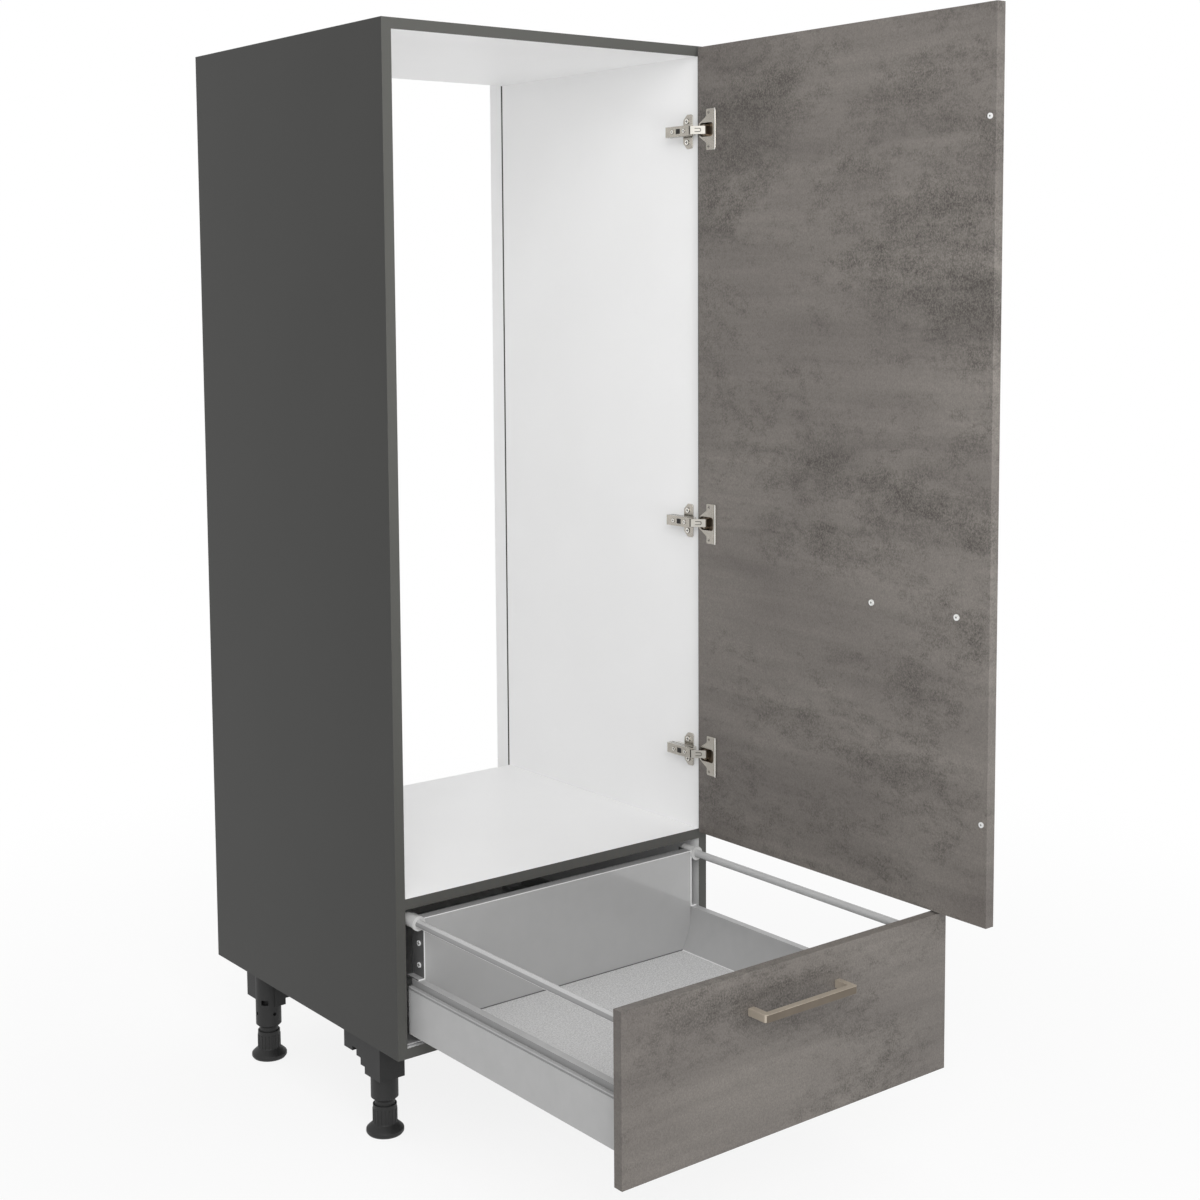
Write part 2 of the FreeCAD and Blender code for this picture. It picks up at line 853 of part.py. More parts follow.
def drawer_front():
    top = drawer_front_z + "drawer_front_height"
    corners = [(-front_half, drawer_front_z), (front_half, drawer_front_z)]
    corners += [(front_half, top), (-front_half, top)]
    board = extrusion("xz", corners, front, (0, drawer_y, 0))
    round_edges(board, size("front_edge_round"), lambda middle, along: True)
    holes = []
    for way in (-1, 1):
        across = way * size("handle_spacing") / 2
        drill = size("handle_screw_radius") + "screw_play"
        holes.append(rod((across, drawer_face, drawer_handle_z), drill, front, "y"))
    return cut(board, holes)


node(drawer_front(), "drawer_front")
drawer_handle = drilled_handle()
place(drawer_handle, (0, drawer_face, drawer_handle_z))
node(drawer_handle, "drawer_handle")
drawer_handle_screws = []
for way in (-1, 1):
    across = way * size("handle_spacing") / 2
    drawer_handle_screws.append(handle_screw((across, drawer_y, drawer_handle_z), "y", -1))
node(group(drawer_handle_screws), "drawer_handle_screws")

# Drawer sides, floor and back
side_top = size("side_top")
scoop_rise = side_top - "floor_top"
scoop_sweep = size("side_foot_width") - "side_top_width"
scoop_radius = (scoop_rise * scoop_rise + scoop_sweep * scoop_sweep) / (scoop_sweep * 2)
scoop_in = size("side_top_width") + scoop_radius


def scoop(side, radius, start, length):
    """Large round that hollows the inner wall of a drawer side."""
    return rod((side * (side_outer - scoop_in), start, side_top), radius, length, "y")


def drawer_side(side):
    """Hollow steel side: stepped top, a groove along its outside, inner wall scooped down to the floor."""
    bottom = size("side_bottom")
    wall = size("side_wall")
    foot = size("side_foot_width")
    step = size("side_step_width")
    step_top = side_top - "side_step_drop"
    groove = size("side_groove_depth")
    groove_top = step_top - "side_groove_drop"
    groove_foot = groove_top - "side_groove_width"
    length = size("drawer_length")
    end = drawer_y + length

    def across(inward):
        return side * (side_outer - inward)

    skin_points = [
        (across(0), bottom),
        (across(0), groove_foot),
        (across(groove), groove_foot),
        (across(groove), groove_top),
        (across(0), groove_top),
        (across(0), step_top),
        (across(step), step_top),
        (across(step), side_top),
        (across(foot), side_top),
        (across(foot), bottom),
    ]
    hollow_points = [
        (across(wall), bottom + wall),
        (across(wall), groove_foot - wall),
        (across(groove + wall), groove_foot - wall),
        (across(groove + wall), step_top - wall),
        (across(step + wall), step_top - wall),
        (across(step + wall), side_top - wall),
        (across(foot - wall), side_top - wall),
        (across(foot - wall), bottom + wall),
    ]
    skin = extrusion("xz", skin_points, length, (0, end, 0))
    hollow = extrusion("xz", hollow_points, length, (0, end, 0))
    outside = cut(skin, [scoop(side, scoop_radius, drawer_y, length)])
    inside = cut(hollow, [scoop(side, scoop_radius + wall, drawer_y, length)])
    return cut(outside, [inside])


for side, label in ((-1, "left"), (1, "right")):
    node(drawer_side(side), f"drawer_side_{label}")
floor_top = size("floor_top")
floor_bottom = floor_top - "floor_thickness"
floor_length = back_board_y - drawer_y


def drawer_bottom():
    """Floor board with a rabbet along the back board."""
    extent = (floor_half * 2, floor_length, size("floor_thickness"))
    board = block((-floor_half, drawer_y, floor_bottom), extent)
    wide = size("floor_rabbet")
    deep = size("floor_rabbet_depth")
    rabbet = block((-floor_half, back_board_y - wide, floor_top - deep), (floor_half * 2, wide, deep))
    return cut(board, [rabbet])


node(drawer_bottom(), "drawer_bottom")


def drawer_back():
    """Back board, cut at its lower corners to the scooped steel sides."""
    play = size("back_board_play")
    notch = side_top + play
    board = block(
        (-board_half, back_board_y, floor_bottom),
        (board_half * 2, panel, size("back_board_top") - floor_bottom),
    )
    corners = []
    for side in (-1, 1):
        inner_x = floor_half - scoop_sweep
        wide = board_half - inner_x
        start = inner_x if side > 0 else -board_half
        corner = block((start, back_board_y, floor_bottom), (wide, panel, notch - floor_bottom))
        corners.append(cut(corner, [scoop(side, scoop_radius - play, back_board_y, panel)]))
    return cut(board, corners)


node(drawer_back(), "drawer_back")
rail_x = side_outer - "rail_inset"
rail_z = size("rail_above")
bracket_sheet = size("bracket_sheet")
bracket_face = board_half + bracket_sheet


def back_bracket(side):
    """Angle that lies on a steel side's top and is screwed to the end of the back board."""
    deep = size("bracket_depth")
    start = board_half if side > 0 else -bracket_face
    extent = (bracket_sheet, deep, size("back_board_top") - side_top)
    upright = block((start, back_board_y, side_top), extent)
    wide = size("bracket_foot")
    foot_start = bracket_face if side > 0 else -bracket_face - wide
    foot = block((foot_start, back_board_y, side_top), (wide, deep, bracket_sheet))
    return fuse([upright, foot])


def rail_front_holder(side):
    """Moulded socket for a rail's front end: collar on the drawer front, bored barrel."""
    length = size("holder_length")
    socket = size("holder_socket")
    radius = size("holder_radius")
    base = (side * rail_x, drawer_y, rail_z)
    collar = rod(base, radius + "holder_collar", size("holder_collar_length"), "y")
    drill = size("rail_radius") + "holder_play"
    bore = rod((side * rail_x, drawer_y + length - socket, rail_z), drill, socket, "y")
    return cut(fuse([rod(base, radius, length, "y"), collar]), [bore])


def rail_back_holder(side):
    """Moulded socket for a rail's back end: ring before the back board, barrel beside the bracket."""
    ring = size("holder_collar_length")
    start = back_board_y - ring
    radius = size("holder_radius")
    length = size("back_holder_length")
    half = size("back_holder_half")
    base = (side * rail_x, start, rail_z)
    barrel = rod(base, radius, length, "y")
    collar = rod(base, radius + "holder_collar", ring, "y")
    web = rail_x - bracket_face
    web_x = bracket_face if side > 0 else -rail_x
    seat = block((web_x, back_board_y, rail_z - half), (web, length - ring, half * 2))
    drill = size("rail_radius") + "holder_play"
    return cut(fuse([barrel, collar, seat]), [rod(base, drill, size("holder_socket"), "y")])


def gallery_rail(side):
    """Round steel tube between the holders, with a groove along its outer side."""
    start = drawer_y + "holder_length" - "holder_socket"
    length = back_board_y - "holder_collar_length" + "holder_socket" - start
    base = (side * rail_x, start, rail_z)
    radius = size("rail_radius")
    deep = size("rail_groove_depth")
    groove_x = rail_x + radius - deep if side > 0 else -rail_x - radius
    groove_z = rail_z - "rail_groove_drop"
    groove = block((groove_x, start, groove_z), (deep, length, size("rail_groove_width")))
    return cut(rod(base, radius, length, "y"), [rod(base, size("rail_bore"), length, "y"), groove])


bracket_screws = []
for side, label in ((-1, "left"), (1, "right")):
    node(back_bracket(side), f"drawer_back_bracket_{label}")
    node(rail_back_holder(side), f"rail_back_holder_{label}")
    node(gallery_rail(side), f"gallery_rail_{label}")
    for level in ("bracket_screw_low", "bracket_screw_high"):
        head = size("screw_head_height")
        start = bracket_face if side > 0 else -bracket_face - head
        base = (start, back_board_y + "bracket_screw_along", level)
        bracket_screws.append(rod(base, size("screw_head_radius"), head, "x"))
node(group(bracket_screws), "bracket_screws")
node(group([rail_front_holder(side) for side in (-1, 1)]), "rail_front_holders")


# Full-extension runners: cabinet profile, middle profile at half travel, drawer profile
def mirrored(side, points):
    return [(side * (inner - inward), level) for inward, level in points]


runner_sheet = size("runner_sheet")
runner_web_top = runner_bottom + runner_sheet
runner_play = size("runner_play")
middle_bottom = runner_web_top + runner_play
slide_top = size("side_bottom")
slide_under = slide_top - "slide_sheet"
middle_top = slide_under - runner_play
middle_in = size("middle_start")
middle_out = middle_in + "middle_width"


def channel(inside, outside, top, under, foot, sheet_thick):
    """Inverted channel section, as distances from the side panel and heights."""
    return [
        (inside, top),
        (inside, foot),
        (inside + sheet_thick, foot),
        (inside + sheet_thick, under),
        (outside - sheet_thick, under),
        (outside - sheet_thick, foot),
        (outside, foot),
        (outside, top),
    ]


def cabinet_runner(side):
    """Angle screwed to the side panel, with a web that carries the middle profile and a lip."""
    web = size("runner_web_width")
    top = runner_bottom + "runner_flange_height"
    lip = runner_bottom + "runner_lip_height"
    points = [
        (size(0), top),
        (size(0), runner_bottom),
        (web, runner_bottom),
        (web, lip),
        (web - runner_sheet, lip),
        (web - runner_sheet, runner_web_top),
        (runner_sheet, runner_web_top),
        (runner_sheet, top),
    ]
    profile = extrusion("xz", mirrored(side, points), size("runner_length"), (0, runner_end, 0))
    start = inner - runner_sheet if side > 0 else -inner
    drill = size("screw_radius") + "screw_play"
    holes = [rod((start, along, level), drill, runner_sheet, "x") for along, level in runner_screws]
    return cut(profile, holes)


for side, label in ((-1, "left"), (1, "right")):
    node(cabinet_runner(side), f"cabinet_runner_{label}")
    middle_under = middle_top - runner_sheet
    section = channel(middle_in, middle_out, middle_top, middle_under, middle_bottom, runner_sheet)
    middle_end = size("middle_front") + "middle_length" - size("drawer_travel") / 2
    node(
        extrusion("xz", mirrored(side, section), size("middle_length"), (0, middle_end, 0)),
        f"runner_middle_{label}",
    )
    slide_sheet = size("slide_sheet")
    slide_in = middle_in - runner_play - slide_sheet
    slide_out = middle_out + runner_play + slide_sheet
    section = channel(slide_in, slide_out, slide_top, slide_under, slide_top - "slide_drop", slide_sheet)
    slide_end = drawer_y + "slide_front" + "runner_length"
    node(
        extrusion("xz", mirrored(side, section), size("runner_length"), (0, slide_end, 0)),
        f"drawer_runner_{label}",
    )


# Levelling feet
FLUTES = 18
STEPS = 3
foot_x = half_width - "foot_inset"
FOOT_PLACES = {
    "front_left": (-1, size("foot_front"), 1),
    "front_right": (1, size("foot_front"), 1),
    "back_left": (-1, depth - "foot_back_inset", -1),
    "back_right": (1, depth - "foot_back_inset", -1),
}


def stair_points(nose):
    """Section of a socket's bracket, as distance from the tube's axis and height."""
    low = -size("bracket_height")
    rise = size("bracket_rise")
    tread = size("bracket_tread")
    near = size("bracket_start")
    far = size("bracket_end")
    toe = -size("bracket_toe")
    points = [(-nose, 0), (-nose, low)]
    for step in range(STEPS):
        points.append((near + tread * step, low + rise * step))
        points.append((near + tread * step, low + rise * (step + 1)))
    last = near + tread * STEPS
    return points + [(last, low + rise * STEPS), (last, toe), (far, toe), (far, 0)]


def front_bracket(x, along):
    """Stepped bracket that points to the back."""
    wide = size("bracket_width")
    return extrusion("yz", stair_points(size("bracket_nose")), wide, (x - wide / 2, along, 0))


def rear_bracket(side, x, along):
    """Stepped bracket that points to the middle of the cabinet, with a plain heel to the back."""
    wide = size("bracket_width")
    points = [(-side * out, level) for out, level in stair_points(size(0))]
    stairs = extrusion("xz", points, wide, (x, along + wide / 2, 0))
    tall = size("bracket_heel_height")
    heel_wide = size("bracket_heel_width")
    heel = block((x - heel_wide / 2, along, -tall), (heel_wide, size("bracket_heel"), tall))
    return fuse([stairs, heel])


def foot_socket(side, along, way):
    """Moulded socket under the bottom panel: stepped bracket, tube with a neck, cross holes, bore."""
    x = side * foot_x
    radius = size("socket_radius")
    end = -size("socket_length")
    tip = end - "socket_tip_length"
    neck = tip - "socket_neck_length"
    neck_radius = size("socket_neck_radius")
    points = [(0, 0), (radius, 0), (radius, end), (neck_radius, tip), (neck_radius, neck), (0, neck)]
    tube = revolution(points, (x, along, 0))
    hole_z = end + "socket_hole_above"
    hole = size("socket_hole")
    hole_x = x if side * way < 0 else x - radius
    hole_y = along if way > 0 else along - radius
    tools = [
        rod((x, along, neck), size("socket_bore"), -neck - "socket_roof", "z"),
        rod((hole_x, along, hole_z), hole, radius, "x"),
        rod((x, hole_y, hole_z), hole, radius, "y"),
    ]
    if way > 0:
        return cut(fuse([tube, front_bracket(x, along)]), tools)
    lean = size("socket_window") / (2 * math.sqrt(2))
    window_points = [(side * lean, lean), (side * (radius + lean), lean - radius)]
    window_points += [(side * (radius - lean), -radius - lean), (-side * lean, -lean)]
    window_base = (x, along, end + "socket_window_above")
    tools.append(extrusion("xy", window_points, size("socket_window_height"), window_base))
    return cut(fuse([tube, rear_bracket(side, x, along)]), tools)


def levelling_foot(side, along):
    """Screw foot: spindle in the socket, fluted collar, base with a rounded rim."""
    bottom = -size("foot_height")
    top = -size("collar_top")
    collar = size("collar_radius")
    recess = size("collar_recess")
    spindle = size("spindle_radius")
    base = size("base_radius")
    foot = -size("collar_foot")
    points = [
        (0, top + "spindle_length"),
        (spindle, top + "spindle_length"),
        (spindle, top - recess),
        (collar - "collar_wall", top - recess),
        (collar - "collar_wall", top),
        (collar, top),
        (collar, foot),
        (base - "base_round", -size("base_crown")),
        (base, -size("base_crown") - "base_round"),
        (base, -size("base_rim")),
        (size("base_sole"), bottom),
        (0, bottom),
    ]
    x = side * foot_x
    turned = revolution(points, (x, along, 0))

    def ring_at(radius, level):
        return lambda middle, along: same(math.hypot(middle.x, middle.y), radius) and same(middle.z, level)

    round_edges(turned, size("collar_blend"), ring_at(collar, foot))
    for level in (-size("base_crown") - "base_round", -size("base_rim")):
        round_edges(turned, size("base_blend"), ring_at(base, level))
    flutes = []
    for step in range(FLUTES):
        angle = 2 * math.pi * step / FLUTES
        flute_x = x + collar * math.cos(angle)
        flute_y = along + collar * math.sin(angle)
        flutes.append(rod((flute_x, flute_y, foot), size("flute_radius"), top - recess - foot, "z"))
    return fuse([turned] + flutes)


for label, (side, along, way) in FOOT_PLACES.items():
    node(foot_socket(side, along, way), f"foot_socket_{label}")
    node(levelling_foot(side, along), f"levelling_foot_{label}")


doc.recompute()
problems = []
for obj in doc.Objects:
    if "Invalid" in obj.State or "Error" in obj.State:
        problems.append(f"{obj.Label}: {obj.State}")
for piece in nodes:
    if piece.Shape.isNull() or not piece.Shape.isValid():
        problems.append(f"{piece.Label}: bad shape")
if problems:
    raise RuntimeError("; ".join(problems))

os.makedirs("parts", exist_ok=True)
for piece in nodes:
    piece.Shape.exportStep(f"parts/{piece.Label}.step")
print(len(nodes), "nodes,", sum(len(piece.Shape.Solids) for piece in nodes), "solids")
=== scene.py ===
import math
import bmesh
import bpy
from mathutils import Matrix, Vector


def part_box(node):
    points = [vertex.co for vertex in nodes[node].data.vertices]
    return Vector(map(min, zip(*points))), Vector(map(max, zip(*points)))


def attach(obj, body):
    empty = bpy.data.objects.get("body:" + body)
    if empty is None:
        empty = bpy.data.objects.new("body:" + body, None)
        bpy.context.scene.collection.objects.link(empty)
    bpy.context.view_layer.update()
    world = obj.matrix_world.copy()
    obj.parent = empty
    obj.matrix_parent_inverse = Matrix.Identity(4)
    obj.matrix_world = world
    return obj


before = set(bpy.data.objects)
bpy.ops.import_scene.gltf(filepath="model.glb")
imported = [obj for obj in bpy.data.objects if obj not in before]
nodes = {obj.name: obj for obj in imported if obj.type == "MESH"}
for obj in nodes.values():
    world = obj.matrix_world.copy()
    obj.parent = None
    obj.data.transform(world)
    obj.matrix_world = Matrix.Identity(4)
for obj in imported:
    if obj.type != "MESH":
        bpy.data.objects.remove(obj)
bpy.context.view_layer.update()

scene = bpy.context.scene

HINGES = ("low", "middle", "high")
FEET = ("front_left", "front_right", "back_left", "back_right")
# Which way along x each side of the cabinet looks
SIDES = {"left": -1, "right": 1}
X_AXIS, Y_AXIS, Z_AXIS = Vector((1, 0, 0)), Vector((0, 1, 0)), Vector((0, 0, 1))


# Colours
SCREEN_WHITE = 255
SRGB_KNEE = 0.04045


def linear(level):
    """The light of a screen level from 0 to 1, by the sRGB curve."""
    if level <= SRGB_KNEE:
        return level / 12.92
    return ((level + 0.055) / 1.055) ** 2.4


def shade(red, green, blue):
    """A colour as a shader takes it, from its 0 to 255 screen values."""
    return tuple(linear(value / SCREEN_WHITE) for value in (red, green, blue))


def grey(level):
    """A neutral colour from its 0 to 255 screen value."""
    return shade(level, level, level)


def dim(colour, share):
    """A colour with each channel taken to a share of itself."""
    return tuple(channel * share for channel in colour)


# Materials
# Sockets of a Mix node that mixes colours
MIX_FACTOR, MIX_LOW, MIX_HIGH, MIX_RESULT = 0, 6, 7, 2
# Noise values at which a cloud is fully dark and fully pale
CLOUD_DARK, CLOUD_PALE = 0.3, 0.7


class Look:
    """A material on a Principled shader, with short calls for its texture nodes."""

    def __init__(self, name, **values):
        self.material = bpy.data.materials.new(name)
        self.material.use_nodes = True
        self.tree = self.material.node_tree
        self.shader = self.tree.nodes["Principled BSDF"]
        self.place = self.add("ShaderNodeTexCoord").outputs["Object"]
        self.set(**values)

    def set(self, **values):
        """Fill inputs of the shader, whose names have underscores here for their spaces."""
        for name, value in values.items():
            self.feed(self.shader.inputs[name.replace("_", " ")], value)

    def feed(self, socket, value):
        """Link another node's output to a socket, or write a plain value into it."""
        if isinstance(value, bpy.types.NodeSocket):
            self.tree.links.new(value, socket)
        else:
            socket.default_value = value

    def add(self, kind, inputs=(), **settings):
        """A new node with its settings, and its inputs by name or number."""
        made = self.tree.nodes.new(kind)
        for name, value in settings.items():
            setattr(made, name, value)
        for name, value in dict(inputs).items():
            self.feed(made.inputs[name], value)
        return made

    def noise(self, scale, detail=2.0, roughness=0.5, stretch=(1, 1, 1), distortion=0.0):
        """A noise over the object's own place, with its scale multiplied along the axes by a stretch."""
        mapping = self.add("ShaderNodeMapping", {"Vector": self.place, "Scale": stretch})
        inputs = {"Vector": mapping.outputs["Vector"], "Scale": scale, "Detail": detail}
        inputs.update({"Roughness": roughness, "Distortion": distortion})
        return self.add("ShaderNodeTexNoise", inputs).outputs["Fac"]

    def ramp(self, factor, *stops):
        """Steps along a factor, each stop as its place and its colour or grey light."""
        made = self.add("ShaderNodeValToRGB", {"Fac": factor})
        steps = made.color_ramp.elements
        while len(steps) < len(stops):
            steps.new(1.0)
        for step, (place, tone) in zip(steps, stops):
            colour = tone if isinstance(tone, tuple) else (tone, tone, tone)
            step.position = place
            step.color = (*colour, 1.0)
        return made.outputs["Color"]

    def mix(self, factor, low, high, blend="MIX"):
        """Two tones mixed by a factor, each a node's output or a plain colour."""
        made = self.add("ShaderNodeMix", data_type="RGBA", blend_type=blend)
        for index, value in ((MIX_FACTOR, factor), (MIX_LOW, low), (MIX_HIGH, high)):
            self.feed(made.inputs[index], (*value, 1.0) if isinstance(value, tuple) else value)
        return made.outputs[MIX_RESULT]

    def ranged(self, value, start, end, low, high, **settings):
        """A value between start and end taken to the range from low to high."""
        inputs = {"Value": value, "From Min": start, "From Max": end, "To Min": low, "To Max": high}
        return self.add("ShaderNodeMapRange", inputs, **settings).outputs["Result"]

    def scaled(self, factor, low, high):
        """A factor from 0 to 1 taken to a range."""
        return self.ranged(factor, 0.0, 1.0, low, high)

    def clouded(self, colour, spread, scale, detail):
        """A colour that drifts by a spread either way in soft clouds."""
        stops = (CLOUD_DARK, dim(colour, 1 - spread)), (CLOUD_PALE, dim(colour, 1 + spread))
        return self.ramp(self.noise(scale, detail), *stops)

    def bump(self, height, distance, strength):
        """Relief on the shader, from a height factor and its depth in metres."""
        inputs = {"Height": height, "Distance": distance, "Strength": strength}
        self.set(Normal=self.add("ShaderNodeBump", inputs).outputs["Normal"])


def board(name, colour, spread=0.06, roughness=0.45, grain=900.0):
    """Melamine: a plain colour with a faint cloud, a fine pore and a slightly uneven sheen."""
    look = Look(name, Specular_IOR_Level=0.3)
    base = look.clouded(colour, spread / 2, scale=6.0, detail=3.0)
    pore = look.noise(grain, detail=2.0, roughness=0.6)
    look.set(Base_Color=look.mix(look.scaled(pore, 0.0, 0.10), base, dim(colour, 0.75)))
    look.set(Roughness=look.scaled(pore, roughness - 0.06, roughness + 0.08))
    look.bump(pore, distance=0.00008, strength=0.5)
    return look


# Heights in metres between which the decor's dark patches grow from few to many
FEW_PATCHES, MANY_PATCHES = 0.25, 1.45


def concrete(name, share=1.0):
    """Concrete decor: smooth pale clouds, dark grainy patches with broken edges, faint level streaks."""
    look = Look(name, Specular_IOR_Level=0.3)
    pale = dim(shade(122, 117, 112), share)
    middle = dim(shade(109, 104, 100), share)
    dark = dim(shade(78, 74, 70), share)
    cloud = look.noise(5.5, detail=4.0, roughness=0.5, stretch=(0.5, 0.5, 1.6), distortion=0.3)
    base = look.ramp(cloud, (0.34, middle), (0.62, pale))

    zone = look.noise(4.4, detail=5.0, roughness=0.6, stretch=(0.58, 0.58, 1.3), distortion=0.4)
    broken = look.noise(46.0, detail=5.0, roughness=0.72, stretch=(0.7, 0.7, 1.25))
    height = look.add("ShaderNodeSeparateXYZ", {"Vector": look.place}).outputs["Z"]
    thinning = look.ranged(height, FEW_PATCHES, MANY_PATCHES, low=0.05, high=-0.01)
    worn_inputs = {0: look.mix(0.40, zone, broken), 1: thinning}
    worn = look.add("ShaderNodeMath", worn_inputs, operation="SUBTRACT").outputs[0]
    patch = look.ramp(worn, (0.47, 0.0), (0.61, 1.0))
    speck = look.noise(480.0, detail=3.0, roughness=0.7, stretch=(1.0, 1.0, 0.8))
    grain = look.ramp(speck, (0.36, 0.2), (0.60, 1.0))
    tone = look.mix(look.mix(1.0, patch, grain, "MULTIPLY"), base, dark)

    line = look.noise(7.0, detail=4.0, roughness=0.6, stretch=(0.3, 0.3, 6.0), distortion=0.3)
    tone = look.mix(0.2, tone, look.ramp(line, (0.3, 0.26), (0.7, 0.74)), "OVERLAY")
    tone = look.mix(0.3, tone, look.ramp(speck, (0.35, 0.74), (0.65, 0.26)), "OVERLAY")
    fine = look.noise(1000.0, detail=2.0, roughness=0.7, stretch=(1.0, 1.0, 0.8))
    tone = look.mix(0.3, tone, look.ramp(fine, (0.3, 0.3), (0.7, 0.7)), "OVERLAY")
    look.set(Base_Color=tone, Roughness=look.scaled(zone, 0.46, 0.62))
    look.bump(fine, distance=0.00010, strength=0.6)
    return look


def metal(name, colour, roughness, scale=700.0, metallic=1.0, spread=0.12, painted_shade_reach=0.0):
    """Steel with a fine mottled sheen, and painted shade that darkens its corners within the reach given for
    it.
    """
    look = Look(name, Metallic=metallic)
    fine = look.noise(scale, detail=3.0, roughness=0.6)
    base = look.clouded(colour, spread / 2, scale=40.0, detail=2.0)
    tone = look.mix(look.scaled(fine, 0.0, spread), base, dim(colour, 0.6))
    if painted_shade_reach:
        # Painted shade: ambient occlusion darkens the colour in corners
        painted_corner_shade = look.add("ShaderNodeAmbientOcclusion", {"Distance": painted_shade_reach}, samples=6).outputs["AO"]
        tone = look.mix(1.0, tone, look.ramp(painted_corner_shade, (0.35, 0.16), (0.9, 1.0)), "MULTIPLY")
    look.set(Base_Color=tone, Roughness=look.scaled(fine, roughness - 0.06, roughness + 0.08))
    look.bump(fine, distance=0.00004, strength=0.35)
    return look


def plating(name, colour, roughness, painted_shade_reach):
    """Nickel plating of the hinges, with painted shade in its corners."""
    return metal(name, colour, roughness, scale=900.0, painted_shade_reach=painted_shade_reach)


def lacquer(name, level, roughness, spread):
    """Grey lacquer on sheet steel."""
    return metal(name, grey(level), roughness, scale=1500.0, metallic=0.0, spread=spread)


def plastic(name, colour, roughness):
    """Moulded plastic with a fine eroded grain."""
    look = Look(name)
    base = look.clouded(colour, spread=0.10, scale=25.0, detail=3.0)
    grain = look.noise(1100.0, detail=2.0, roughness=0.6)
    look.set(Base_Color=look.mix(look.scaled(grain, 0.0, 0.12), base, dim(colour, 0.55)))
    look.set(Roughness=look.scaled(grain, roughness - 0.05, roughness + 0.10))
    look.bump(grain, distance=0.00006, strength=0.5)
    return look


def speckled(name):
    """Light grey decor of the drawer's floor with small pale and dark flecks."""
    look = Look(name)
    fleck = look.noise(430.0, detail=4.0, roughness=0.75)
    tone = look.ramp(fleck, (0.38, grey(186)), (0.5, grey(212)), (0.62, grey(236)))
    cloud = look.noise(7.0, detail=2.0)
    look.set(Base_Color=look.mix(look.scaled(cloud, 0.0, 0.14), tone, grey(168)))
    look.set(Roughness=look.scaled(fleck, 0.42, 0.58))
    look.bump(fleck, distance=0.00008, strength=0.5)
    return look


# Looks of the carcass and the fronts
anthracite = board("carcass_outside", shade(48, 48, 46))
edging = board("edge_band", shade(83, 83, 80), spread=0.04, roughness=0.5, grain=1400.0)
white = board("carcass_inside", grey(246), spread=0.02, roughness=0.42, grain=1100.0)
hardboard = board("hardboard", shade(228, 228, 224), spread=0.05, roughness=0.6, grain=600.0)
beech = board("beech", shade(205, 172, 132), spread=0.2, roughness=0.6, grain=300.0)
decor = concrete("front_decor")
edge_decor = concrete("front_edge_decor", share=0.84)
# Handle nickel: the front's dark tone is painted shade, and its lighter copy for the top and end faces is a
# painted highlight
satin = metal("handle_nickel", shade(118, 109, 98), 0.32, scale=1200.0)
satin_painted_highlight = metal("handle_nickel_painted_highlight", shade(188, 177, 162), 0.3, scale=1200.0, metallic=0.3)
clear = plastic("buffer_plastic", grey(232), 0.2)
# Dark disc: painted shade in the sunken middles of door buffers and handle screws
dimple_painted_shade = plastic("dimple_painted_shade", grey(120), 0.5)

# Looks of the hinges, screws and feet
nickel = plating("hinge_plating", shade(186, 181, 172), 0.22, painted_shade_reach=0.004)
# Bright nickel for screw heads, and a painted highlight on the hinges' narrow edges and flange rims
bright_nickel_and_painted_highlight = plating("hinge_plating_bright_and_painted_highlight", shade(240, 238, 232), 0.2, painted_shade_reach=0.002)
# A darker, browner copy of the plating: painted shade inside the cups
cup_painted_shade = plating("hinge_cup_inside_painted_shade", shade(168, 156, 142), 0.34, painted_shade_reach=0.003)
link_nickel = plating("hinge_link_plating", shade(184, 181, 174), 0.46, painted_shade_reach=0.002)
dark_clip = plastic("clip_plastic", shade(30, 28, 26), 0.45)
# Dark paint for the screws' sunken crosses, the arm grooves and the link loops: painted shade
painted_recess_shade = metal("screw_recess_painted_shade", shade(56, 52, 47), 0.4, metallic=0.0)
zinc = metal("screw_zinc", shade(236, 236, 234), 0.28, scale=900.0, metallic=0.25, spread=0.05)
black = plastic("foot_plastic", grey(41), 0.5)
black.set(Specular_IOR_Level=0.35)

# Looks of the drawer
galvanised = metal("runner_zinc", grey(190), 0.38, scale=260.0, metallic=0.35)
steel = lacquer("drawer_coat", 174, 0.38, spread=0.05)
shaded_steel = lacquer("drawer_coat_painted_shade", 134, 0.34, spread=0.05)
# Dark copy of the lacquer: painted shade on the brackets' outer leaves
leaf_painted_shade = lacquer("bracket_painted_shade", 92, 0.4, spread=0.05)
rail_coat = lacquer("rail_coat", 188, 0.26, spread=0.04)
# Darker copies of the rail lacquer: painted shade in the flute and on the underside
rail_flute_painted_shade = lacquer("rail_flute_painted_shade", 142, 0.4, spread=0.04)
rail_under_painted_shade = lacquer("rail_under_painted_shade", 110, 0.4, spread=0.04)
back_gloss = lacquer("back_gloss", 176, 0.10, spread=0.03)
back_gloss.set(Coat_Weight=0.8, Coat_Roughness=0.04)
# A darker copy of the board's grey: painted shade on the back board's top, in the gap under the shelf
board_top = board("back_board_top", grey(146), spread=0.04, roughness=0.5)
# Pale paint: a painted highlight on edges, on the bracket screws and below the rails' grooves, and the pale
# line along the drawer's floor
pale_edge_and_painted_highlight = board("pale_edge_and_painted_highlight", grey(240), spread=0.03, roughness=0.4)
flecks = speckled("drawer_floor_decor")
# Dark strip: painted shade in the joint of the drawer's back and floor
seam = plastic("floor_seam_painted_shade", grey(84), 0.5)
milky = plastic("holder_plastic", shade(206, 206, 205), 0.4)


# Looks on the CAD nodes
# A face looks along an axis where its normal has more than this share of it
FACING = 0.7


